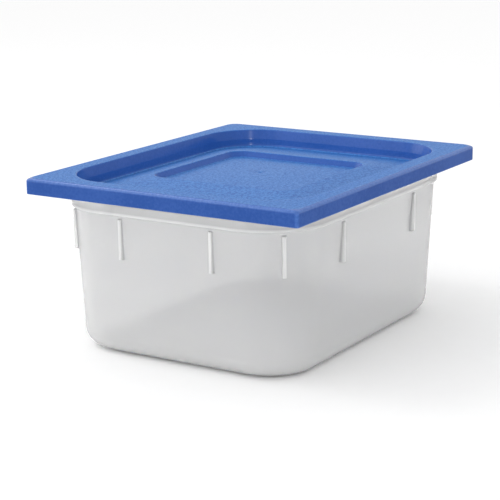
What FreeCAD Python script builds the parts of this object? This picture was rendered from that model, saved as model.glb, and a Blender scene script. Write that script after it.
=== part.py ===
"""Half-size gastronorm storage container: a moulded tub and its press-on lid.

Millimetres, +Z up.  The origin is the centre of the tub's flat base, and +X runs along the long
side.  Each piece is a body of one document, and its sizes follow the cells of one sheet.
"""
import FreeCAD, Part
import math
import os

import Sketcher
from FreeCAD import Placement, Rotation, Vector

DRIVING_SIZES = {
    # The whole container
    "overall_length": 325.0,
    "overall_width": 265.0,
    "overall_height": 151.0,
    # Lid: rim, skirt and the upright wall that plugs the tub's mouth
    "lid_wall": 2.0,
    "skirt_height": 14.0,
    "skirt_corner": 3.0,
    "skirt_edge_round": 2.7,
    "recess_inset": 16.5,
    "recess_corner": 50.0,
    "recess_depth": 17.2,
    "recess_break_depth": 9.3,
    "recess_upper_draft": 1.8,
    "recess_lower_draft": 0.7,
    # Lid: the floor rises from the foot of that wall to the edge of a sunken panel
    "panel_length": 143.0,
    "panel_width": 141.0,
    "panel_corner": 15.0,
    "panel_edge_depth": 7.8,
    "panel_sink": 5.7,
    "panel_side_slope": 2.5,
    "crown_size": 40.0,
    "crown_corner": 12.0,
    "crown_rise": 3.0,
    # Tub: drafted body with large corners
    "base_length": 281.2,
    "base_width": 221.2,
    "base_corner": 41.5,
    "base_round": 17.5,
    "base_thickness": 2.5,
    "tub_wall": 2.2,
    "body_growth": 8.16,
    "body_corner_growth": 12.2,
    # Tub: upright collar above the body
    "collar_bottom": 125.0,
    "collar_length": 303.0,
    "collar_width": 243.0,
    "collar_corner": 56.5,
    "collar_wall": 2.5,
    "collar_floor": 3.0,
    # Tub: flange with a turned-down lip, and the bead that the lid rests on
    "lip_gap": 0.7,
    "lip_wall": 1.8,
    "lip_drop": 6.0,
    "flange_corner": 6.0,
    "flange_thickness": 2.4,
    "bead_height": 0.6,
    "bead_width": 1.5,
    # Tub: upright ribs that keep stacked tubs from jamming
    "rib_bottom": 87.5,
    "rib_top": 122.0,
    "rib_width": 3.2,
    "rib_set_back": 1.0,
    "rib_reach": 8.0,
    "rib_place_long": 64.5,
    "rib_place_short": 44.5,
}

# Heights that several features share, as formulas of the sizes above
LID_TOP = "overall_height"
LID_UNDERSIDE = "overall_height - lid_wall"
SKIRT_BOTTOM = "overall_height - skirt_height"
RECESS_FLOOR = "overall_height - recess_depth"
RECESS_BREAK = "overall_height - recess_break_depth"
PANEL_EDGE = "overall_height - panel_edge_depth"
PANEL_FLOOR = "overall_height - panel_edge_depth - panel_sink"
CROWN_TOP = PANEL_FLOOR + " + crown_rise"
FLANGE_TOP = "overall_height - lid_wall - bead_height"
FLANGE_BOTTOM = FLANGE_TOP + " - flange_thickness"
LIP_BOTTOM = FLANGE_BOTTOM + " - lip_drop"
CAVITY_STEP = "collar_bottom + collar_floor"

# Plan outlines that several features share: half length, half width and corner radius
OVERALL = ("overall_length / 2", "overall_width / 2", "skirt_corner")
RECESS = (OVERALL[0] + " - recess_inset", OVERALL[1] + " - recess_inset", "recess_corner")
PANEL = ("panel_length / 2", "panel_width / 2", "panel_corner")
CROWN = ("crown_size / 2", "crown_size / 2", "crown_corner")
BASE = ("base_length / 2", "base_width / 2", "base_corner")
COLLAR = ("collar_length / 2", "collar_width / 2", "collar_corner")
FLANGE = (
    OVERALL[0] + " - lid_wall - lip_gap",
    OVERALL[1] + " - lid_wall - lip_gap",
    "flange_corner",
)

LEVEL_TOLERANCE = 0.01
SIGNS = ((1, "plus"), (-1, "minus"))

doc = FreeCAD.newDocument("container")


def make_sheet():
    """One row for each driving size: its name, and its value with that name as its alias."""
    cells = doc.addObject("Spreadsheet::Sheet", "sheet")
    for row, (alias, size) in enumerate(DRIVING_SIZES.items(), start=1):
        cells.set(f"A{row}", alias)
        cells.set(f"B{row}", str(size))
        cells.setAlias(f"B{row}", alias)
    doc.recompute()
    return cells


sheet = make_sheet()


def on_sheet(formula):
    """The formula with each size's name pointed at its cell."""
    words = formula.split()
    return " ".join(f"sheet.{word}" if word in DRIVING_SIZES else word for word in words)


def present(formula):
    """The formula's value now, for placing a sketch's first guess."""
    return float(sheet.evalExpression(on_sheet(formula)))


def grown(outline, amount):
    """An outline moved outwards all round by a size."""
    return tuple(f"{term} + {amount}" for term in outline)


def shrunk(outline, amount):
    """An outline moved inwards all round by a size."""
    return tuple(f"{term} - {amount}" for term in outline)


def body_outline(height):
    """The tub body's outside at a height: the sides draft, and the corners open up faster."""
    share = f"( {height} ) / collar_bottom"
    return (
        f"{BASE[0]} + body_growth * {share}",
        f"{BASE[1]} + body_growth * {share}",
        f"{BASE[2]} + body_corner_growth * {share}",
    )


def new_body(name):
    body = doc.addObject("PartDesign::Body", name)
    body.Label = name
    return body


def ground_plane(body):
    return next(item for item in body.Origin.OriginFeatures if item.Role == "XY_Plane")


def level_sketch(body, name, height):
    """An empty sketch lying flat at a height."""
    sketch = body.newObject("Sketcher::SketchObject", name)
    sketch.AttachmentSupport = (ground_plane(body), [""])
    sketch.MapMode = "FlatFace"
    sketch.setExpression("AttachmentOffset.Base.z", on_sheet(height))
    return sketch


def constrain(sketch, *terms):
    return sketch.addConstraint(Sketcher.Constraint(*terms))


def dimension(sketch, name, formula, *terms):
    """A named dimension that follows a formula of the sheet's sizes."""
    index = constrain(sketch, *terms, present(formula))
    sketch.renameConstraint(index, name)
    sketch.setExpression(f"Constraints.{name}", on_sheet(formula))


def draw_outline(sketch, name, outline):
    """A rounded rectangle about the origin: bottom side first, then anticlockwise."""
    x, y, radius = (present(term) for term in outline)
    centres = [(x - radius, radius - y), (x - radius, y - radius)]
    centres += [(radius - x, y - radius), (radius - x, radius - y)]
    starts = [(radius - x, -y), (x, radius - y), (x - radius, y), (-x, y - radius)]
    ends = [(x - radius, -y), (x, y - radius), (radius - x, y), (-x, radius - y)]
    first = sketch.GeometryCount
    for side in range(4):
        line = Part.LineSegment(Vector(*starts[side], 0), Vector(*ends[side], 0))
        circle = Part.Circle(Vector(*centres[side], 0), Vector(0, 0, 1), radius)
        turn = math.pi / 2
        arc = Part.ArcOfCircle(circle, (side - 1) * turn, side * turn)
        sketch.addGeometry(line, False)
        sketch.addGeometry(arc, False)
    lines = range(first, first + 8, 2)
    arcs = range(first + 1, first + 8, 2)
    for side in range(4):
        constrain(sketch, "Tangent", lines[side], 2, arcs[side], 1)
        constrain(sketch, "Tangent", arcs[side], 2, lines[(side + 1) % 4], 1)
        constrain(sketch, "Horizontal" if side % 2 == 0 else "Vertical", lines[side])
    for arc in arcs[1:]:
        constrain(sketch, "Equal", arcs[0], arc)
    constrain(sketch, "Symmetric", lines[0], 1, lines[2], 1, -1, 1)
    dimension(sketch, f"{name}_half_length", outline[0], "DistanceX", -1, 1, lines[1], 1)
    dimension(sketch, f"{name}_half_width", outline[1], "DistanceY", -1, 1, lines[2], 1)
    dimension(sketch, f"{name}_corner", outline[2], "Radius", arcs[0])


def finished(body, feature, volume_before, adds):
    """Recompute after a feature, and stop unless it changed the solid in the right sense."""
    doc.recompute()
    if "Invalid" in feature.State or "Error" in feature.State or body.Shape.isNull():
        raise RuntimeError(f"{feature.Label} failed: {feature.State}")
    if body.Shape.Volume <= 0 or (body.Shape.Volume > volume_before) != adds:
        raise RuntimeError(f"{feature.Label} changed the volume the wrong way")


def volume_of(body):
    return body.Shape.Volume if body.Tip else 0


def loft(body, kind, name, *sections):
    """A straight-sided loft through (height, outline) sections, added or cut away."""
    sketches = []
    for place, (height, outline) in enumerate(sections):
        sketch = level_sketch(body, f"{name}_section_{place}", height)
        draw_outline(sketch, "outline", outline)
        sketches.append(sketch)
    volume_before = volume_of(body)
    feature = body.newObject(f"PartDesign::{kind}Loft", name)
    feature.Profile = sketches[0]
    feature.Sections = sketches[1:]
    feature.Ruled = True
    finished(body, feature, volume_before, kind == "Additive")


def add_loft(body, name, *sections):
    loft(body, "Additive", name, *sections)


def cut_loft(body, name, *sections):
    loft(body, "Subtractive", name, *sections)


def upright(body, kind, name, bottom, top, *outlines):
    """A Pad raised from the bottom height, or a Pocket sunk from the top one.

    A second outline inside the first leaves a ring.
    """
    sketch = level_sketch(body, f"{name}_sketch", bottom if kind == "Pad" else top)
    for place, outline in enumerate(outlines):
        draw_outline(sketch, f"outline_{place}", outline)
    volume_before = volume_of(body)
    feature = body.newObject(f"PartDesign::{kind}", name)
    feature.Profile = sketch
    feature.setExpression("Length", on_sheet(f"{top} - ( {bottom} )"))
    finished(body, feature, volume_before, kind == "Pad")


def round_edges(body, name, height, radius, fills_a_corner=False):
    """Round every edge that lies level at a height: an inside corner gains material."""
    base = body.Tip
    level = present(height)
    edges = []
    for index, edge in enumerate(base.Shape.Edges, start=1):
        heights = [vertex.Z for vertex in edge.Vertexes] + [edge.CenterOfMass.z]
        if all(abs(z - level) < LEVEL_TOLERANCE for z in heights):
            edges.append(f"Edge{index}")
    volume_before = volume_of(body)
    fillet = body.newObject("PartDesign::Fillet", name)
    fillet.Base = (base, edges)
    fillet.setExpression("Radius", on_sheet(radius))
    finished(body, fillet, volume_before, fills_a_corner)


def add_rib(body, name, face_x, face_y, turn):
    """An upright bar below the collar: its outer face is centred at a place and looks along turn."""
    along = f"cos( {turn} deg )"
    across = f"sin( {turn} deg )"
    volume_before = volume_of(body)
    rib = body.newObject("PartDesign::AdditiveBox", name)
    rib.AttachmentSupport = (ground_plane(body), [""])
    rib.MapMode = "FlatFace"
    rib.AttachmentOffset = Placement(Vector(), Rotation(Vector(0, 0, 1), turn))
    corner_x = f"{face_x} - rib_reach * {along} + rib_width / 2 * {across}"
    corner_y = f"{face_y} - rib_reach * {across} - rib_width / 2 * {along}"
    rib.setExpression("AttachmentOffset.Base.x", on_sheet(corner_x))
    rib.setExpression("AttachmentOffset.Base.y", on_sheet(corner_y))
    rib.setExpression("AttachmentOffset.Base.z", on_sheet("rib_bottom"))
    rib.setExpression("Length", on_sheet("rib_reach"))
    rib.setExpression("Width", on_sheet("rib_width"))
    rib.setExpression("Height", on_sheet("rib_top - rib_bottom"))
    finished(body, rib, volume_before, True)


def add_ribs(body):
    """Two ribs on each side and one on the middle of each corner, a little below the collar."""
    face_x, face_y, radius = shrunk(COLLAR, "rib_set_back")
    for end, end_word in SIGNS:
        for place, place_word in SIGNS:
            add_rib(
                body,
                f"end_rib_{end_word}_{place_word}",
                f"{end} * ( {face_x} )",
                f"{place} * rib_place_short",
                math.degrees(math.atan2(0, end)),
            )
            add_rib(
                body,
                f"side_rib_{end_word}_{place_word}",
                f"{place} * rib_place_long",
                f"{end} * ( {face_y} )",
                math.degrees(math.atan2(end, 0)),
            )
            add_rib(
                body,
                f"corner_rib_{end_word}_{place_word}",
                f"{end} * ( {face_x} - ( {radius} ) + ( {radius} ) * cos( 45 deg ) )",
                f"{place} * ( {face_y} - ( {radius} ) + ( {radius} ) * sin( 45 deg ) )",
                math.degrees(math.atan2(place, end)),
            )


def make_tub():
    """An open box with drafted walls, a collar, a flange and ribs."""
    tub = new_body("tub")
    body_top = "collar_bottom"
    add_loft(tub, "body_block", ("0", body_outline("0")), (body_top, body_outline(body_top)))
    upright(tub, "Pad", "collar_block", "collar_bottom", FLANGE_TOP, COLLAR)
    upright(tub, "Pad", "flange_plate", FLANGE_BOTTOM, FLANGE_TOP, FLANGE)
    lip_inside = shrunk(FLANGE, "lip_wall")
    upright(tub, "Pad", "flange_lip", LIP_BOTTOM, FLANGE_BOTTOM, FLANGE, lip_inside)
    bead_outside = grown(COLLAR, "bead_width")
    upright(tub, "Pad", "lid_bead", FLANGE_TOP, LID_UNDERSIDE, bead_outside, COLLAR)
    add_ribs(tub)
    floor = "base_thickness"
    cut_loft(
        tub,
        "cavity",
        (floor, shrunk(body_outline(floor), "tub_wall")),
        (CAVITY_STEP, shrunk(body_outline(CAVITY_STEP), "tub_wall")),
    )
    mouth = shrunk(COLLAR, "collar_wall")
    upright(tub, "Pocket", "mouth", CAVITY_STEP, FLANGE_TOP, mouth)
    round_edges(tub, "cavity_rounding", floor, "base_round - tub_wall", fills_a_corner=True)
    round_edges(tub, "base_rounding", "0", "base_round")
    return tub


def make_lid():
    """A flat rim with a skirt, and a stacking recess whose floor rises to a sunken panel."""
    lid = new_body("lid")
    upright(lid, "Pad", "rim_block", SKIRT_BOTTOM, LID_TOP, OVERALL)
    round_edges(lid, "rim_rounding", LID_TOP, "skirt_edge_round")
    inside_skirt = shrunk(OVERALL, "lid_wall")
    upright(lid, "Pocket", "skirt_hollow", SKIRT_BOTTOM, LID_UNDERSIDE, inside_skirt)
    middle = shrunk(RECESS, "recess_upper_draft")
    foot = shrunk(middle, "recess_lower_draft")
    foot_underside = RECESS_FLOOR + " - lid_wall"
    add_loft(
        lid,
        "plug",
        (foot_underside, grown(foot, "lid_wall")),
        (RECESS_BREAK, grown(middle, "lid_wall")),
        (LID_UNDERSIDE, grown(RECESS, "lid_wall")),
    )
    cut_loft(
        lid,
        "recess",
        (RECESS_FLOOR, foot),
        (RECESS_BREAK, middle),
        (LID_TOP, RECESS),
    )
    add_loft(lid, "rising_floor", (RECESS_FLOOR, foot), (PANEL_EDGE, PANEL))
    cut_loft(
        lid,
        "rising_floor_underside",
        (foot_underside, shrunk(foot, "lid_wall")),
        (PANEL_EDGE + " - lid_wall", grown(PANEL, "lid_wall")),
    )
    panel_foot = shrunk(PANEL, "panel_side_slope")
    add_loft(
        lid,
        "panel_tray",
        (PANEL_FLOOR + " - lid_wall", grown(panel_foot, "lid_wall")),
        (PANEL_EDGE + " - lid_wall", grown(PANEL, "lid_wall")),
    )
    cut_loft(lid, "panel_sinking", (PANEL_FLOOR, panel_foot), (PANEL_EDGE, PANEL))
    add_loft(lid, "panel_crown", (PANEL_FLOOR, panel_foot), (CROWN_TOP, CROWN))
    cut_loft(
        lid,
        "panel_crown_underside",
        (PANEL_FLOOR + " - lid_wall", panel_foot),
        (CROWN_TOP + " - lid_wall", CROWN),
    )
    return lid


def check_and_write(bodies):
    """Stop if anything failed, then write each piece to a file of its own name."""
    doc.recompute()
    for item in doc.Objects:
        if "Invalid" in item.State or "Error" in item.State:
            raise RuntimeError(f"{item.Label} is in state {item.State}")
    os.makedirs("parts", exist_ok=True)
    for body in bodies:
        shape = body.Shape
        if shape.isNull() or not shape.isValid() or len(shape.Solids) != 1:
            raise RuntimeError(f"{body.Label} is not one valid solid")
        shape.exportStep(f"parts/{body.Label}.step")
        box = shape.BoundBox
        size = f"{box.XLength:.2f} x {box.YLength:.2f} x {box.ZLength:.2f}"
        print(f"{body.Label}: {shape.Volume / 1000:.1f} cm3, {size} mm, base at {box.ZMin:.2f}")


check_and_write([make_tub(), make_lid()])
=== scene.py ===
"""Looks of a half-size gastronorm container: a milky polypropylene tub under a blue press-on lid.

Blender 4.5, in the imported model's frame: the origin is the centre of the tub's base, +X runs along
the long side and +Z is up.  Sizes are written in millimetres, and MM turns them into metres.
"""

import math
from collections import namedtuple

import bpy
from mathutils import Matrix, Vector


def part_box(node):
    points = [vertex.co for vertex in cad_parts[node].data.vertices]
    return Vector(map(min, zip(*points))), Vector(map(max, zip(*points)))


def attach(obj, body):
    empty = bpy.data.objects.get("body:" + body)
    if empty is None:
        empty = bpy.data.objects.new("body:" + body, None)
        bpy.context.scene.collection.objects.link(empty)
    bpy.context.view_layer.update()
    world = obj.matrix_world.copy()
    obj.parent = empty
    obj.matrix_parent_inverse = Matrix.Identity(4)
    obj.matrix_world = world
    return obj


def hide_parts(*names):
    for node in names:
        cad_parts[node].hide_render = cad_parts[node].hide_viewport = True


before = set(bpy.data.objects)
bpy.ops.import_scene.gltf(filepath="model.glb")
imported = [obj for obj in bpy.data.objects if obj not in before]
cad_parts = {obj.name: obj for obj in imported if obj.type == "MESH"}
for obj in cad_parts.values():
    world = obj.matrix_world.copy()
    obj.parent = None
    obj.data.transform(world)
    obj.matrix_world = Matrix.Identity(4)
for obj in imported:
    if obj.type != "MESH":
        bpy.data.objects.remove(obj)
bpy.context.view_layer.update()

MM = 0.001

LID_LOW, LID_HIGH = (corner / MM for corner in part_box("lid"))
TUB_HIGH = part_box("tub")[1] / MM


# ---------------------------------------------------------------- rings and lofted shells

# A station of a profile: a rounded rectangle at a height, and the radius its bend is rounded to.
# The edge is up to one on the arc of a bend that turns clockwise, where the lid gets a painted
# highlight.
Station = namedtuple("Station", "half_x half_y corner z round edge", defaults=(0.0, 0.0))

# Where a quarter of a ring has its points: millimetres from the middle of the +X side and of the
# +Y side, angles round the corner, and shares of what is left of each side.
Columns = namedtuple("Columns", "marks_y marks_x angles rest_shares")

MARK = "mark"
BEND_STEPS = 6
HOLD_LENGTH = 0.3
LONGEST_RUN = 14.0
SIDE_MARGIN = 6.0


def lerp(a, b, share):
    return a + (b - a) * share


def mix_stations(a, b, share):
    """The outline and height part of the way from one station to the next."""
    return Station(*(lerp(p, q, share) for p, q in zip(a[:4], b[:4])))


def run_between(a, b):
    """The profile's run from one station to the next, across and up."""
    return Vector((b.half_x - a.half_x, b.z - a.z))


def bend(before, here, after):
    """Stations along the arc that rounds off one bend of a profile."""
    run_in, run_out = run_between(before, here), run_between(here, after)
    half_turn = run_in.angle(run_out) / 2
    reach = here.round * math.tan(half_turn)
    start = mix_stations(here, before, reach / run_in.length)
    end = mix_stations(here, after, reach / run_out.length)
    weight = math.cos(half_turn)
    clockwise = run_in.cross(run_out) < 0
    made = []
    for step in range(BEND_STEPS + 1):
        t = step / BEND_STEPS
        parts = ((1 - t) ** 2, 2 * weight * t * (1 - t), t ** 2)
        sizes = [sum(p * q for p, q in zip(parts, trio)) for trio in zip(start, here, end)]
        outline = [size / sum(parts) for size in sizes[:4]]
        made.append(Station(*outline, edge=math.sin(math.pi * t) if clockwise else 0.0))
    return made


def profile(stations):
    """Every ring of a shell: bends rounded, held by close rings, and long runs divided."""
    parts = [[stations[0]]]
    for before, here, after in zip(stations, stations[1:], stations[2:]):
        parts.append(bend(before, here, after) if here.round else [here])
    parts.append([stations[-1]])
    made = []
    for part, following in zip(parts, parts[1:]):
        made.extend(part)
        start, end = part[-1], following[0]
        length = run_between(start, end).length
        if length < 3 * HOLD_LENGTH:
            continue
        hold = HOLD_LENGTH / length
        pieces = math.ceil(length / LONGEST_RUN)
        shares = [lerp(hold, 1 - hold, piece / pieces) for piece in range(pieces + 1)]
        made.extend(mix_stations(start, end, share) for share in shares)
    return made + parts[-1]


def side_places(marks, shares, straight):
    """Places along half of a side: the marks, closed up if the side is short, then the rest."""
    last = marks[-1]
    fit = min(1.0, straight / (last + SIDE_MARGIN))
    fixed = [mark * fit for mark in marks]
    return fixed + [lerp(last * fit, straight, share) for share in shares]


def quarter_ring(station, columns):
    """Points from the middle of the +X side round the corner to the middle of the +Y side."""
    straight_x = station.half_x - station.corner
    straight_y = station.half_y - station.corner
    ends = side_places(columns.marks_y, columns.rest_shares, straight_y)
    sides = side_places(columns.marks_x, columns.rest_shares, straight_x)
    points = [Vector((station.half_x, place)) for place in ends]
    for angle in columns.angles:
        turn = math.radians(angle)
        x = straight_x + station.corner * math.cos(turn)
        y = straight_y + station.corner * math.sin(turn)
        points.append(Vector((x, y)))
    points.extend(Vector((place, station.half_y)) for place in reversed(sides))
    return points


def whole_ring(quarter):
    """The quarter mirrored into the other three, with no point twice."""
    upper = quarter + [Vector((-p.x, p.y)) for p in reversed(quarter[:-1])]
    return upper + [Vector((p.x, -p.y)) for p in reversed(upper[1:-1])]


def mirrored(quarter):
    """One quarter's amounts for a whole ring, in the order of its points."""
    half = quarter + list(reversed(quarter[:-1]))
    return half + list(reversed(half[1:-1]))


def shell(name, rings, marks, finishes=None):
    """A closed mesh through rings of (points, height), with a fan over each end.

    The marks are amounts for every point of every ring, which the materials read.
    The finishes are the material numbers of the bands between the rings.
    """
    count = len(rings[0][0])
    points = [(p.x * MM, p.y * MM, z * MM) for ring, z in rings for p in ring]
    faces = []
    for level in range(len(rings) - 1):
        lower, upper = level * count, (level + 1) * count
        for place in range(count):
            after = (place + 1) % count
            faces.append((lower + place, lower + after, upper + after, upper + place))
    for level, turned in ((0, True), (len(rings) - 1, False)):
        middle = len(points)
        points.append((0.0, 0.0, rings[level][1] * MM))
        for place in range(count):
            edge = (level * count + place, level * count + (place + 1) % count)
            faces.append((middle, *(reversed(edge) if turned else edge)))
    mesh = bpy.data.meshes.new(name)
    mesh.from_pydata(points, [], faces)
    mesh.polygons.foreach_set("use_smooth", [True] * len(faces))
    if finishes:
        bands = [finish for finish in finishes for place in range(count)]
        ends = [finishes[0]] * count + [finishes[-1]] * count
        mesh.polygons.foreach_set("material_index", bands + ends)
    amounts = [amount for ring in marks for amount in ring] + [0.0, 0.0]
    mesh.attributes.new(MARK, "FLOAT", "POINT").data.foreach_set("value", amounts)
    mesh.validate()
    piece = bpy.data.objects.new(name, mesh)
    bpy.context.scene.collection.objects.link(piece)
    return piece


# ---------------------------------------------------------------- lid

LID_WALL = 2.0
SKIRT_BOTTOM = 137.0
SKIRT_CORNER = 3.0
SKIRT_TOP_ROUND = 2.7
SKIRT_LIP_ROUND = 0.6

RECESS_INSET = 16.5
RECESS_CORNER = 50.0
RECESS_DEPTH = 17.2
RECESS_BREAK_DEPTH = 9.3
RECESS_UPPER_DRAFT = 1.8
RECESS_LOWER_DRAFT = 0.7

# The wall below its break bends gently at one point, this far inside and below the break
BLEND_INSET = 0.2
BLEND_DROP = 3.4
BLEND_ROUND = 6.0
RECESS_FOOT_ROUND = 2.6
RECESS_TOP_ROUND = 1.0

PANEL_EDGE_DEPTH = 7.8
PANEL_SINK = 5.7
PANEL_HALF = (71.5, 70.5)
PANEL_CORNER = 15.0
PANEL_SLOPE = 2.5
PANEL_FOOT_ROUND = 0.9
PANEL_EDGE_ROUND = 1.1
CROWN_RISE = 3.0
CROWN_STEPS = 9

UNDER_SMALL_ROUND = 1.0
UNDER_ROUND = 2.0
UNDER_FOOT_ROUND = 3.0

# Numbers of the lid's finishes: three polished ones, then two with a grain
SKIRT, EDGE, WALL, RIM, FLOOR = range(5)
RIM_SLOPE, FLOOR_SLOPE = 0.3, 1.6
EDGE_REACH = 2.0

GATE_DIMPLE = 4.2
GATE_DEPTH = 0.14
GATE_NUB = 1.3
GATE_NUB_HEIGHT = 0.4
GATE_MARGIN = 1.5

LID_COLUMNS = Columns(
    marks_y=[0.0],
    marks_x=[0.0],
    angles=[step * 6.0 for step in range(16)],
    rest_shares=[step / 10 for step in range(1, 10)],
)


def lid_station(inset, corner, depth, rounding=0.0):
    """A station given by how far it is inside the lid's edge and below its top."""
    return Station(LID_HIGH.x - inset, LID_HIGH.y - inset, corner, LID_HIGH.z - depth, rounding)


def panel_station(inset, depth, rounding=0.0):
    """A station given by how far it is inside the sunken panel's edge."""
    half_x, half_y = PANEL_HALF
    corner = PANEL_CORNER - inset
    return Station(half_x - inset, half_y - inset, corner, LID_HIGH.z - depth, rounding)


def crown(edge, rise, smallest):
    """Stations from near the middle of a pillow-shaped crown out to its edge."""
    made = []
    for step in range(CROWN_STEPS):
        share = lerp(smallest / edge.half_y, 1.0, step / CROWN_STEPS)
        half_x, half_y = edge.half_x * share, edge.half_y * share
        corner = half_y * lerp(1.0, edge.corner / edge.half_y, share ** 2)
        made.append(Station(half_x, half_y, corner, edge.z + rise * (1 - share ** 2)))
    return made


def gate_mark(z):
    """The dimple and nub that the mould's gate leaves, from the middle out."""
    nub_top = GATE_NUB_HEIGHT - GATE_DEPTH
    sizes = [  # radius, height above the crown, rounding
        (GATE_NUB - 0.4, nub_top, 0.0),
        (GATE_NUB, nub_top, 0.3),
        (GATE_NUB + 0.3, -GATE_DEPTH, 0.2),
        (GATE_DIMPLE, -GATE_DEPTH, 0.2),
        (GATE_DIMPLE + 0.5, 0.0, 0.3),
    ]
    return [Station(radius, radius, radius, z + rise, rounding) for radius, rise, rounding in sizes]


def lid_stations():
    """The lid's section from the middle of its top, out over the rim, and back underneath."""
    foot_inset = RECESS_INSET + RECESS_UPPER_DRAFT + RECESS_LOWER_DRAFT
    foot_corner = RECESS_CORNER - RECESS_UPPER_DRAFT - RECESS_LOWER_DRAFT
    middle_inset = RECESS_INSET + RECESS_UPPER_DRAFT
    middle_corner = RECESS_CORNER - RECESS_UPPER_DRAFT
    panel_floor = PANEL_EDGE_DEPTH + PANEL_SINK
    top_edge = panel_station(PANEL_SLOPE, panel_floor)
    under_edge = panel_station(PANEL_SLOPE, panel_floor + LID_WALL)
    centre_z = LID_HIGH.z - panel_floor + CROWN_RISE
    blend_depth = RECESS_BREAK_DEPTH + BLEND_DROP
    blend_inset = middle_inset + BLEND_INSET
    blend_corner = middle_corner - BLEND_INSET
    top = gate_mark(centre_z) + crown(top_edge, CROWN_RISE, GATE_DIMPLE + GATE_MARGIN)
    top += [
        panel_station(PANEL_SLOPE, panel_floor, PANEL_FOOT_ROUND),
        panel_station(0.0, PANEL_EDGE_DEPTH, PANEL_EDGE_ROUND),
        lid_station(foot_inset, foot_corner, RECESS_DEPTH, RECESS_FOOT_ROUND),
        lid_station(blend_inset, blend_corner, blend_depth, BLEND_ROUND),
        lid_station(middle_inset, middle_corner, RECESS_BREAK_DEPTH),
        lid_station(RECESS_INSET, RECESS_CORNER, 0.0, RECESS_TOP_ROUND),
        lid_station(0.0, SKIRT_CORNER, 0.0, SKIRT_TOP_ROUND),
    ]
    skirt_depth = LID_HIGH.z - SKIRT_BOTTOM
    skirt_inner_corner = SKIRT_CORNER - LID_WALL
    plug_inset, plug_corner = RECESS_INSET - LID_WALL, RECESS_CORNER + LID_WALL
    plug_middle_inset, plug_middle_corner = middle_inset - LID_WALL, middle_corner + LID_WALL
    plug_foot_inset, plug_foot_corner = foot_inset - LID_WALL, foot_corner + LID_WALL
    plug_foot_depth = RECESS_DEPTH + LID_WALL
    rise_inset, rise_corner = foot_inset + LID_WALL, foot_corner - LID_WALL
    under = [
        lid_station(0.0, SKIRT_CORNER, skirt_depth, SKIRT_LIP_ROUND),
        lid_station(LID_WALL, skirt_inner_corner, skirt_depth, SKIRT_LIP_ROUND),
        lid_station(LID_WALL, skirt_inner_corner, LID_WALL, UNDER_SMALL_ROUND),
        lid_station(plug_inset, plug_corner, LID_WALL, UNDER_SMALL_ROUND),
        lid_station(plug_middle_inset, plug_middle_corner, RECESS_BREAK_DEPTH, UNDER_ROUND),
        lid_station(plug_foot_inset, plug_foot_corner, plug_foot_depth, UNDER_FOOT_ROUND),
        lid_station(rise_inset, rise_corner, plug_foot_depth, UNDER_ROUND),
        panel_station(-LID_WALL, PANEL_EDGE_DEPTH + LID_WALL, UNDER_SMALL_ROUND),
        panel_station(PANEL_SLOPE - LID_WALL, panel_floor + LID_WALL, UNDER_ROUND),
    ]
    under += reversed(crown(under_edge, CROWN_RISE, GATE_NUB))
    return top + under


def lid_finish(inner, outer):
    """The finish of the band between two stations: grained if it faces up and is nearly level."""
    run = run_between(inner, outer)
    slope = abs(run.y) / run.x if run.x > 0 else math.inf
    if outer.half_x < LID_HIGH.x - RECESS_INSET + EDGE_REACH:
        return FLOOR if slope < FLOOR_SLOPE else WALL
    if slope < RIM_SLOPE:
        return RIM
    return EDGE if inner.edge or outer.edge else SKIRT


def corner_highlight():
    """How much painted highlight each point of a quarter of a ring gets where the lid's upright
    corners are sharp.
    """
    plain = [0.0] * (1 + len(LID_COLUMNS.rest_shares))
    return plain + [math.sin(math.radians(2 * angle)) for angle in LID_COLUMNS.angles] + plain


def make_lid():
    """The lid; its marks are where a painted highlight goes: the outward edges and the upright
    corners.
    """
    stations = profile(lid_stations())
    rings = [(whole_ring(quarter_ring(station, LID_COLUMNS)), station.z) for station in stations]
    marks = []
    for station in stations:
        sharp = 1.0 if station.corner <= SKIRT_CORNER else 0.0
        marks.append(mirrored([max(station.edge, sharp * highlight_share) for highlight_share in corner_highlight()]))
    finishes = [lid_finish(*pair) for pair in zip(stations, stations[1:])]
    return shell("blue_lid", rings, marks, finishes)


# ---------------------------------------------------------------- tub

BASE_HALF = (140.6, 110.6)
BASE_CORNER = 41.5
BASE_ROUND = 17.5
BASE_THICKNESS = 2.5
TUB_WALL = 2.2
COLLAR_BOTTOM = 125.0
COLLAR_HALF = (151.5, 121.5)
COLLAR_CORNER = 56.5
COLLAR_WALL = 2.5
COLLAR_STEP_INSIDE = 128.0
COLLAR_FOOT = 3.0
BODY_GROWTH = 8.16
BODY_CORNER_GROWTH = 12.2

FLANGE_CORNER = 6.0
FLANGE_TOP = 148.4
FLANGE_THICKNESS = 2.4
LIP_DROP = 6.0
LIP_WALL = 1.8
BEAD_WIDTH = 1.5
BEAD_CLEARANCE = 0.05

# How the tub's bends are rounded, and the small disc in the middle of its base
FINE_ROUND = 0.4
SOFT_ROUND = 0.8
COLLAR_EDGE_ROUND = 0.6
LIP_INSIDE_ROUND = 0.5
FLANGE_EDGE_ROUND = 1.2
BEAD_ROUND = 0.25
MOUTH_ROUND = 1.0
CENTRE_DISC = 3.0

RIB_BOTTOM = 87.5
RIB_TOP = 122.0
RIB_SET_BACK = 1.0
RIB_PLACE_END = 44.5
RIB_PLACE_SIDE = 64.5
RIB_CORNER_ANGLE = 45.0
RIB_CORNER_REACH = 53.0

# A rib's section: how far from its middle, and its share of the full height there
RIB_ACROSS = (
    (0.0, 1.0),
    (0.7, 1.0),
    (1.15, 1.0),
    (1.37, 0.95),
    (1.54, 0.72),
    (1.66, 0.28),
    (1.85, 0.05),
    (2.25, 0.0),
)

# The rib's ends: how far in from its end, and its share of the full height there
RIB_IN = ((-0.5, 0.0), (-0.15, 0.05), (0.0, 0.3), (0.12, 0.72), (0.3, 0.95), (0.7, 1.0))

# The collar's foot is solid plastic: height above the collar's bottom, and how thick it looks
FOOT_UP = ((-0.3, 0.0), (0.0, 0.9), (1.9, 0.9), (COLLAR_FOOT, 0.0))


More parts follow.
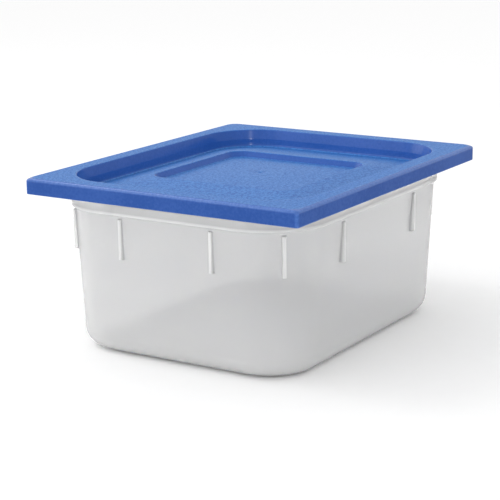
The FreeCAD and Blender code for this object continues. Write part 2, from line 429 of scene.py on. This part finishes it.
def rib_marks(place, before, after):
    """Places of columns across a rib, with some in the plain wall on either side."""
    offsets = [offset for offset, share in RIB_ACROSS]
    across = [place - offset for offset in reversed(offsets)]
    across += [place + offset for offset in offsets[1:]]
    return before + across + after


def corner_angles():
    """Angles round a corner, closer together across the rib."""
    plain = [0.0, 6.0, 12.0, 18.0, 24.0, 30.0, 35.5, 40.0]
    offsets = [math.degrees(offset / RIB_CORNER_REACH) for offset, share in RIB_ACROSS]
    first = plain + [RIB_CORNER_ANGLE - offset for offset in reversed(offsets)]
    return first + [90.0 - angle for angle in reversed(first[:-1])]


TUB_COLUMNS = Columns(
    marks_y=rib_marks(RIB_PLACE_END, [0.0, 10.0, 20.0, 30.0, 38.0], [50.0]),
    marks_x=rib_marks(RIB_PLACE_SIDE, [0.0, 11.0, 22.0, 33.0, 44.0, 54.0], [70.0]),
    angles=corner_angles(),
    rest_shares=[0.25, 0.5, 0.75],
)


def look_up(table, value):
    """Straight-line reading of a table of (position, amount) pairs, flat beyond its ends."""
    for (left, low), (right, high) in zip(table, table[1:]):
        if value < right:
            return lerp(low, high, max(0.0, value - left) / (right - left))
    return table[-1][1]


def rib_shares():
    """Each column's share of a rib's height, for one quarter of a ring."""
    plain = [0.0] * len(TUB_COLUMNS.rest_shares)
    end = [look_up(RIB_ACROSS, abs(mark - RIB_PLACE_END)) for mark in TUB_COLUMNS.marks_y]
    side = [look_up(RIB_ACROSS, abs(mark - RIB_PLACE_SIDE)) for mark in TUB_COLUMNS.marks_x]
    corner = []
    for angle in TUB_COLUMNS.angles:
        offset = math.radians(abs(angle - RIB_CORNER_ANGLE)) * RIB_CORNER_REACH
        corner.append(look_up(RIB_ACROSS, offset))
    return end + plain + corner + plain + list(reversed(side))


def body_station(z, inset=0.0, rounding=0.0):
    """The tub's drafted wall at a height, or a station inside it."""
    share = z / COLLAR_BOTTOM
    half_x, half_y = (half + BODY_GROWTH * share - inset for half in BASE_HALF)
    corner = BASE_CORNER + BODY_CORNER_GROWTH * share - inset
    return Station(half_x, half_y, corner, z, rounding)


def collar_station(z, inset=0.0, rounding=0.0):
    """The upright collar at a height, or a station inside it."""
    half_x, half_y = COLLAR_HALF
    return Station(half_x - inset, half_y - inset, COLLAR_CORNER - inset, z, rounding)


def flange_station(z, inset=0.0, rounding=0.0):
    """The flange's edge at a height, or a station inside it."""
    half_x, half_y = TUB_HIGH.x - inset, TUB_HIGH.y - inset
    return Station(half_x, half_y, FLANGE_CORNER - inset, z, rounding)


def centre_station(z):
    """The small disc in the middle of the base, which the fan closes."""
    return Station(CENTRE_DISC, CENTRE_DISC, CENTRE_DISC, z)


def tub_stations():
    """The tub's section from the middle of its base, up the outside, and down the inside."""
    flange_bottom = FLANGE_TOP - FLANGE_THICKNESS
    lip_bottom = flange_bottom - LIP_DROP
    bead_top = TUB_HIGH.z - BEAD_CLEARANCE
    outside = [
        centre_station(0.0),
        body_station(0.0, rounding=BASE_ROUND),
    ]
    outside += [body_station(RIB_BOTTOM + reach) for reach, share in RIB_IN]
    outside += [body_station(RIB_TOP - reach) for reach, share in reversed(RIB_IN)]
    outside += [
        body_station(COLLAR_BOTTOM, rounding=FINE_ROUND),
        collar_station(COLLAR_BOTTOM, rounding=COLLAR_EDGE_ROUND),
        collar_station(COLLAR_BOTTOM + COLLAR_FOOT),
        collar_station(flange_bottom, rounding=SOFT_ROUND),
        flange_station(flange_bottom, LIP_WALL, LIP_INSIDE_ROUND),
        flange_station(lip_bottom, LIP_WALL, FINE_ROUND),
        flange_station(lip_bottom, 0.0, FINE_ROUND),
        flange_station(FLANGE_TOP, 0.0, FLANGE_EDGE_ROUND),
    ]
    bead = [
        collar_station(FLANGE_TOP, -BEAD_WIDTH),
        collar_station(bead_top, -BEAD_WIDTH, BEAD_ROUND),
        collar_station(bead_top, 0.0, BEAD_ROUND),
        collar_station(FLANGE_TOP, 0.0),
    ]
    inside = [
        collar_station(FLANGE_TOP, COLLAR_WALL, MOUTH_ROUND),
        collar_station(COLLAR_STEP_INSIDE, COLLAR_WALL, SOFT_ROUND),
        body_station(COLLAR_STEP_INSIDE, TUB_WALL, SOFT_ROUND),
        body_station(BASE_THICKNESS, TUB_WALL, BASE_ROUND - TUB_WALL),
        centre_station(BASE_THICKNESS),
    ]
    return outside + bead + inside


def rib_rise(station):
    """The ribs' share of their full height at a station of the tub's outside."""
    return look_up(RIB_IN, min(station.z - RIB_BOTTOM, RIB_TOP - station.z))


def ribbed_ring(station, rises):
    """A quarter of a ring of the tub, pushed out to the ribs' faces where they stand."""
    wall = quarter_ring(station, TUB_COLUMNS)
    face = quarter_ring(collar_station(station.z, RIB_SET_BACK), TUB_COLUMNS)
    return [lerp(p, q, rise) for p, q, rise in zip(wall, face, rises)]


def make_tub():
    """The tub; its marks are where the plastic is thicker: the ribs and the collar's foot."""
    shares = rib_shares()
    rings = []
    marks = []
    outside = True
    for station in profile(tub_stations()):
        outside = outside and station.z <= FLANGE_TOP
        rise = rib_rise(station) if outside else 0.0
        foot = look_up(FOOT_UP, station.z - COLLAR_BOTTOM) if outside else 0.0
        rises = [rise * share for share in shares]
        rings.append((whole_ring(ribbed_ring(station, rises)), station.z))
        marks.append(mirrored([max(foot, thick) for thick in rises]))
    return shell("milky_tub", rings, marks)


# ---------------------------------------------------------------- materials

# Noise scales are in waves per metre, and bump distances in metres.

# The polished blues: the two colours they are mottled with, and how strongly they reflect
# One plastic: the skirt's blues are darker as painted shade, the recess wall's lighter as painted
# light
SKIRT_LOOK = ((0.028, 0.080, 0.300, 1.0), (0.038, 0.098, 0.340, 1.0), 0.04)
EDGE_LOOK = ((0.020, 0.085, 0.340, 1.0), (0.030, 0.100, 0.370, 1.0), 0.5)
WALL_LOOK = ((0.025, 0.102, 0.385, 1.0), (0.035, 0.118, 0.424, 1.0), 0.26)
# The paler blue painted along the marked edges and upright corners as a highlight
EDGE_HIGHLIGHT_BLUE = (0.10, 0.22, 0.58, 1.0)

# The grained blues' mottling, whose paler blue is also a painted sheen, and how strongly the rim and
# the floor reflect
GRAIN_DARK = (0.013, 0.102, 0.390, 1.0)
GRAIN_SHEEN_PALE = (0.030, 0.186, 0.535, 1.0)
RIM_SHINE, FLOOR_SHINE = 0.33, 0.5

# The tub's plastic: its whites, the grey painted on its upper wall as shade under the lid, how
# clear the wall is at its bottom and top, and the share of that which is left where it is thick
CREAM = (0.972, 0.972, 0.966, 1.0)
WHITE = (0.990, 0.990, 0.984, 1.0)
UNDER_LID_SHADE_GREY = (0.88, 0.88, 0.875, 1.0)
LOW_CLEARNESS, HIGH_CLEARNESS = 0.52, 0.68
THICK_CLEARNESS = 0.7

PLASTIC_IOR = 1.49


class Graph:
    """A material's node tree, with short ways to add and join nodes."""

    def __init__(self, name):
        self.material = bpy.data.materials.new(name)
        self.material.use_nodes = True
        self.tree = self.material.node_tree
        self.shader = next(n for n in self.tree.nodes if n.type == "BSDF_PRINCIPLED")

    def add(self, kind, values=(), **settings):
        """A node with its settings and the values of its sockets: a value or another socket."""
        node = self.tree.nodes.new(f"ShaderNode{kind}")
        for name, value in settings.items():
            setattr(node, name, value)
        for socket, value in dict(values).items():
            self.put(node.inputs[socket], value)
        return node

    def put(self, socket, value):
        if isinstance(value, bpy.types.NodeSocket):
            self.tree.links.new(value, socket)
        else:
            socket.default_value = value

    def math(self, operation, *values, clamp=False):
        node = self.add("Math", enumerate(values), operation=operation, use_clamp=clamp)
        return node.outputs[0]

    def noise(self, where, scale, detail=2.0, roughness=0.5):
        sockets = {"Vector": where, "Scale": scale, "Detail": detail, "Roughness": roughness}
        return self.add("TexNoise", sockets).outputs["Fac"]

    def ramp(self, value, low, high, to_low=0.0, to_high=1.0):
        """The value moved from one range to another, smoothly and never beyond it."""
        sockets = {"Value": value, "From Min": low, "From Max": high}
        sockets.update({"To Min": to_low, "To Max": to_high})
        node = self.add("MapRange", sockets, interpolation_type="SMOOTHSTEP")
        return node.outputs["Result"]

    def mix_colours(self, share, first, second):
        node = self.add("Mix", {"Factor": share}, data_type="RGBA")
        self.put(node.inputs[6], first)
        self.put(node.inputs[7], second)
        return node.outputs[2]

    def bump(self, height, distance, strength=1.0, normal=None):
        sockets = {"Height": height, "Distance": distance, "Strength": strength}
        if normal is not None:
            sockets["Normal"] = normal
        return self.add("Bump", sockets).outputs["Normal"]

    def finish(self, **sockets):
        """Put the named values on the shader: underscores stand for spaces."""
        for name, value in sockets.items():
            self.put(self.shader.inputs[name.replace("_", " ")], value)
        return self.material


def blue_polished(name, deep, pale, shine):
    """A lid wall and its fillets: polished blue plastic, with faint waves and a painted highlight on
    its marked edges.
    """
    graph = Graph(name)
    where = graph.add("TexCoord").outputs["Object"]
    cloud = graph.noise(where, scale=14.0, detail=3.0, roughness=0.5)
    fine = graph.noise(where, scale=420.0, detail=3.0, roughness=0.6)
    edge = graph.add("Attribute", attribute_name=MARK).outputs["Fac"]
    # Painted highlight: the paler blue along the marked edges and corners, broken up by the fine
    # noise
    painted_highlight = graph.math("MULTIPLY", edge, graph.ramp(fine, 0.35, 0.65, 0.5, 1.0))
    mottle = graph.math("ADD", graph.math("MULTIPLY", cloud, 0.5), graph.math("MULTIPLY", fine, 0.5))
    colour = graph.mix_colours(graph.ramp(mottle, 0.38, 0.62), deep, pale)
    colour = graph.mix_colours(graph.math("MULTIPLY", painted_highlight, 0.55), colour, EDGE_HIGHLIGHT_BLUE)
    gloss = graph.ramp(cloud, 0.3, 0.7, 0.15, 0.2)
    gloss = graph.math("ADD", gloss, graph.math("MULTIPLY", painted_highlight, 0.06))
    waves = graph.bump(cloud, distance=0.00025, strength=0.5)
    normal = graph.bump(fine, distance=0.00001, strength=0.5, normal=waves)
    return graph.finish(
        Base_Color=colour,
        Roughness=gloss,
        IOR=PLASTIC_IOR,
        Specular_IOR_Level=shine,
        Normal=normal,
    )


def blue_textured(name, shine):
    """The lid's level surfaces: a spark-eroded grain that looks frosted, with a painted sheen in its
    paler blue.
    """
    graph = Graph(name)
    where = graph.add("TexCoord").outputs["Object"]
    coarse = graph.noise(where, scale=430.0, detail=4.0, roughness=0.7)
    grain = graph.noise(where, scale=900.0, detail=2.0, roughness=0.6)
    colour = graph.mix_colours(graph.ramp(coarse, 0.36, 0.60), GRAIN_DARK, GRAIN_SHEEN_PALE)
    gloss = graph.ramp(coarse, 0.3, 0.7, 0.58, 0.44)
    bumps = graph.bump(coarse, distance=0.00035, strength=0.8)
    normal = graph.bump(grain, distance=0.00016, strength=0.8, normal=bumps)
    return graph.finish(
        Base_Color=colour,
        Roughness=gloss,
        IOR=PLASTIC_IOR,
        Specular_IOR_Level=shine,
        Normal=normal,
    )


def milky_polypropylene():
    """Natural polypropylene: milky where it is thick, half clear where the wall is thin."""
    graph = Graph("milky_polypropylene")
    where = graph.add("TexCoord").outputs["Object"]
    cloud = graph.noise(where, scale=9.0, detail=3.0, roughness=0.55)
    fine = graph.noise(where, scale=600.0, detail=2.0, roughness=0.5)
    thick = graph.add("Attribute", attribute_name=MARK).outputs["Fac"]
    height = graph.add("SeparateXYZ", {"Vector": where}).outputs["Z"]
    wall_top = COLLAR_BOTTOM * MM
    # Painted shade: the wall turns greyer towards its top, under the lid
    painted_shade = graph.ramp(height, 0.02, wall_top, 0.0, 0.5)
    colour = graph.mix_colours(painted_shade, graph.mix_colours(cloud, CREAM, WHITE), UNDER_LID_SHADE_GREY)
    roughness = graph.ramp(cloud, 0.25, 0.75, 0.06, 0.1)
    wall = graph.ramp(height, 0.0, wall_top, LOW_CLEARNESS, HIGH_CLEARNESS)
    clear = graph.math("MULTIPLY", wall, graph.ramp(thick, 0.0, 1.0, 1.0, THICK_CLEARNESS))
    waves = graph.bump(cloud, distance=0.0002, strength=0.5)
    normal = graph.bump(fine, distance=0.000005, strength=0.6, normal=waves)
    return graph.finish(
        Base_Color=colour,
        Roughness=roughness,
        IOR=PLASTIC_IOR,
        Transmission_Weight=clear,
        Subsurface_Weight=1.0,
        Subsurface_Radius=(1.0, 1.0, 1.0),
        Subsurface_Scale=0.0045,
        Normal=normal,
    )


def white_paper():
    """The studio's pale floor."""
    graph = Graph("white_paper")
    where = graph.add("TexCoord").outputs["Object"]
    mottle = graph.noise(where, scale=60.0, detail=2.0, roughness=0.5)
    colour = graph.mix_colours(mottle, (0.95, 0.95, 0.95, 1.0), (0.97, 0.97, 0.97, 1.0))
    return graph.finish(Base_Color=colour, Roughness=0.9)


# ---------------------------------------------------------------- studio

CAMERA_PLACE = (-1.16745, -0.71531, 0.40748)
CAMERA_AZIMUTH = -58.10
CAMERA_ELEVATION = 13.86
CAMERA_ROLL = -0.605
CAMERA_LENS = 113.5

WORLD_DARK_AZIMUTH = 30.0
WORLD_BRIGHT = 1.15
WORLD_DARK = 0.85

FLOOR_SIZE = 60.0
FLOOR_DROP = 0.0002

# Square area lights: where they stand round the container, in degrees and metres, their side in
# metres, and their power in watts
Softbox = namedtuple("Softbox", "name azimuth elevation distance size power")
SOFTBOXES = (
    Softbox("left_softbox", -122.0, 20.0, 1.8, 0.5, 1.6),
    Softbox("left_fill", -166.0, 20.0, 1.8, 1.2, 6.0),
    Softbox("overhead", -158.0, 50.0, 2.0, 0.45, 3.5),
    Softbox("window", -52.0, 8.0, 2.2, 0.16, 5.0),
)


def direction(azimuth, elevation):
    a, e = math.radians(azimuth), math.radians(elevation)
    return Vector((math.sin(a) * math.cos(e), -math.cos(a) * math.cos(e), math.sin(e)))


def make_camera():
    camera = bpy.data.cameras.new("camera")
    camera.lens = CAMERA_LENS
    camera.clip_end = 100.0
    holder = bpy.data.objects.new("camera", camera)
    back = direction(CAMERA_AZIMUTH, CAMERA_ELEVATION)
    turned = back.to_track_quat("Z", "Y").to_matrix().to_4x4()
    roll = Matrix.Rotation(math.radians(CAMERA_ROLL), 4, "Z")
    holder.matrix_world = Matrix.Translation(CAMERA_PLACE) @ turned @ roll
    bpy.context.scene.collection.objects.link(holder)
    bpy.context.scene.camera = holder


def make_softbox(softbox):
    """An area light that looks at the middle of the lid."""
    light = bpy.data.lights.new(softbox.name, "AREA")
    light.size = softbox.size
    light.energy = softbox.power
    holder = bpy.data.objects.new(softbox.name, light)
    away = direction(softbox.azimuth, softbox.elevation)
    middle = (LID_LOW + LID_HIGH) / 2 * MM
    turned = away.to_track_quat("Z", "Y").to_matrix().to_4x4()
    holder.matrix_world = Matrix.Translation(middle + away * softbox.distance) @ turned
    bpy.context.scene.collection.objects.link(holder)


def make_floor():
    half = FLOOR_SIZE / 2
    mesh = bpy.data.meshes.new("floor")
    corners = [(-half, -half), (half, -half), (half, half), (-half, half)]
    mesh.from_pydata([(x, y, -FLOOR_DROP) for x, y in corners], [], [(0, 1, 2, 3)])
    floor = bpy.data.objects.new("floor", mesh)
    floor.data.materials.append(white_paper())
    bpy.context.scene.collection.objects.link(floor)


def make_world():
    """White studio walls, a little darker on the right."""
    world = bpy.data.worlds.new("studio")
    world.use_nodes = True
    nodes, links = world.node_tree.nodes, world.node_tree.links
    where = nodes.new("ShaderNodeTexCoord")
    dot = nodes.new("ShaderNodeVectorMath")
    dot.operation = "DOT_PRODUCT"
    dot.inputs[1].default_value = direction(WORLD_DARK_AZIMUTH, 0.0)
    strength = nodes.new("ShaderNodeMapRange")
    strength.inputs["From Min"].default_value = -1.0
    strength.inputs["To Min"].default_value = WORLD_BRIGHT
    strength.inputs["To Max"].default_value = WORLD_DARK
    links.new(where.outputs["Generated"], dot.inputs[0])
    links.new(dot.outputs["Value"], strength.inputs["Value"])
    links.new(strength.outputs["Result"], nodes["Background"].inputs["Strength"])
    nodes["Background"].inputs["Color"].default_value = (1.0, 1.0, 1.0, 1.0)
    bpy.context.scene.world = world


# ---------------------------------------------------------------- the scene

tub = make_tub()
tub.data.materials.append(milky_polypropylene())
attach(tub, "tub")
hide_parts("tub")

# The materials are in the order of the finishes' numbers
lid = make_lid()
lid.data.materials.append(blue_polished("blue_skirt", *SKIRT_LOOK))
lid.data.materials.append(blue_polished("blue_edge", *EDGE_LOOK))
lid.data.materials.append(blue_polished("blue_wall", *WALL_LOOK))
lid.data.materials.append(blue_textured("blue_rim", RIM_SHINE))
lid.data.materials.append(blue_textured("blue_floor", FLOOR_SHINE))
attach(lid, "lid")
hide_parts("lid")

make_camera()
make_floor()
make_world()
for softbox in SOFTBOXES:
    make_softbox(softbox)
bpy.context.scene.view_settings.view_transform = "Standard"
